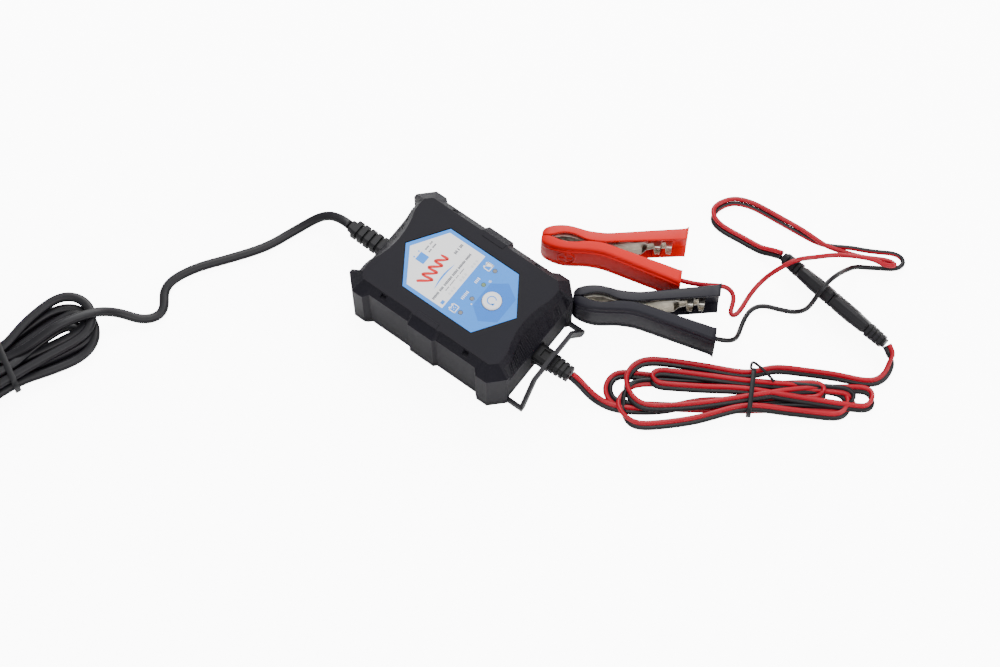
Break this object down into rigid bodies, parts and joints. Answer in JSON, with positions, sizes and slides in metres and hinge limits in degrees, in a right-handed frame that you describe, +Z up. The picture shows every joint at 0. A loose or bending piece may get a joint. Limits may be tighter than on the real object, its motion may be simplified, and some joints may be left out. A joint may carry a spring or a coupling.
{
  "type": "battery charger",
  "caption": "Small battery charger box with mains lead, output lead, inline connector and a red and a black insulated clamp.",
  "frame": {"origin": "centre of the housing underside", "axes": "+X along the housing towards the output lead, +Y towards the clamps, +Z up"},
  "size_m": [0.4117, 0.4735, 0.0381],
  "materials": {
    "bail_plastic": "moulded",
    "base_black": "fine textured ABS",
    "button_white": "smooth",
    "capacitor_sleeve": "sleeve",
    "cord_black": "PVC",
    "cord_red": "PVC",
    "cover_black": "moulded",
    "cover_red": "moulded",
    "heatsink_alu": "extruded",
    "housing_black": "fine textured ABS",
    "jaw_nickel": "nickel plated",
    "label_film": "printed film",
    "lead_red_black": "PVC",
    "led_window": "light pipe",
    "pcb_green": "solder mask",
    "plug_black": "moulded",
    "plug_pin": "nickel plated",
    "relief_rubber": "moulded",
    "screw_steel": "plated",
    "tie_black": "coated wire",
    "transformer_body": "tape"
  },
  "bodies": {
    "charger": {"base_screw_1": "screw_steel", "base_screw_2": "screw_steel", "base_screw_3": "screw_steel", "base_screw_4": "screw_steel", "black_clamp_cover_near": "cover_black", "black_clamp_jaw_near": "jaw_nickel", "black_clamp_pivot_pin": "jaw_nickel", "black_clamp_spring": "screw_steel", "capacitor_a": "capacitor_sleeve", "capacitor_b": "capacitor_sleeve", "circuit_board": "pcb_green", "clamp_lead_black": "cord_black", "clamp_lead_red": "cord_red", "clamp_lead_twin": "lead_red_black", "connector_plug": "plug_black", "connector_socket": "plug_black", "control_board": "pcb_green", "heat_sink": "heatsink_alu", "housing_base": "base_black", "housing_top": "housing_black", "label_panel": "label_film", "led_window_1": "led_window", "led_window_2": "led_window", "led_window_3": "led_window", "led_window_4": "led_window", "mains_cord": "cord_black", "mains_cord_end": "cord_black", "mains_hank": "cord_black", "mains_plug": "plug_black", "mains_strain_relief": "relief_rubber", "mains_tie": "tie_black", "output_hank": "lead_red_black", "output_lead_end": "lead_red_black", "output_lead_start": "lead_red_black", "output_strain_relief": "relief_rubber", "output_tie": "tie_black", "plug_pin_1": "plug_pin", "plug_pin_2": "plug_pin", "power_transistor": "cord_black", "red_clamp_cover_near": "cover_red", "red_clamp_jaw_near": "jaw_nickel", "red_clamp_pivot_pin": "jaw_nickel", "red_clamp_spring": "screw_steel", "tact_switch": "cord_black", "transformer": "transformer_body"},
    "bail": {"hanging_bail": "bail_plastic"},
    "button": {"mode_button": "button_white"},
    "red_clamp_far_half": {"red_clamp_cover_far": "cover_red", "red_clamp_jaw_far": "jaw_nickel"},
    "black_clamp_far_half": {"black_clamp_cover_far": "cover_black", "black_clamp_jaw_far": "jaw_nickel"}
  },
  "joints": [
    {"name": "bail_slide", "type": "slide", "parent": "charger", "child": "bail", "axis": [1, 0, 0], "range_m": [-0.0055, 0]},
    {"name": "mode_press", "type": "slide", "parent": "charger", "child": "button", "axis": [0, 0, -1], "range_m": [0, 0.00035], "stiffness_N_per_m": 2500, "springref_m": -0.0002},
    {"name": "red_clamp_squeeze", "type": "hinge", "parent": "charger", "child": "red_clamp_far_half", "pos_m": [0.04218, 0.06843, 0.0113], "axis": [0, 0, -1], "range_deg": [0, 19], "stiffness_Nm_per_rad": 0.6, "springref_deg": -22.92},
    {"name": "black_clamp_squeeze", "type": "hinge", "parent": "charger", "child": "black_clamp_far_half", "pos_m": [0.07576, 0.0506, 0.0113], "axis": [0, 0, -1], "range_deg": [0, 19], "stiffness_Nm_per_rad": 0.6, "springref_deg": -22.92}
  ]
}
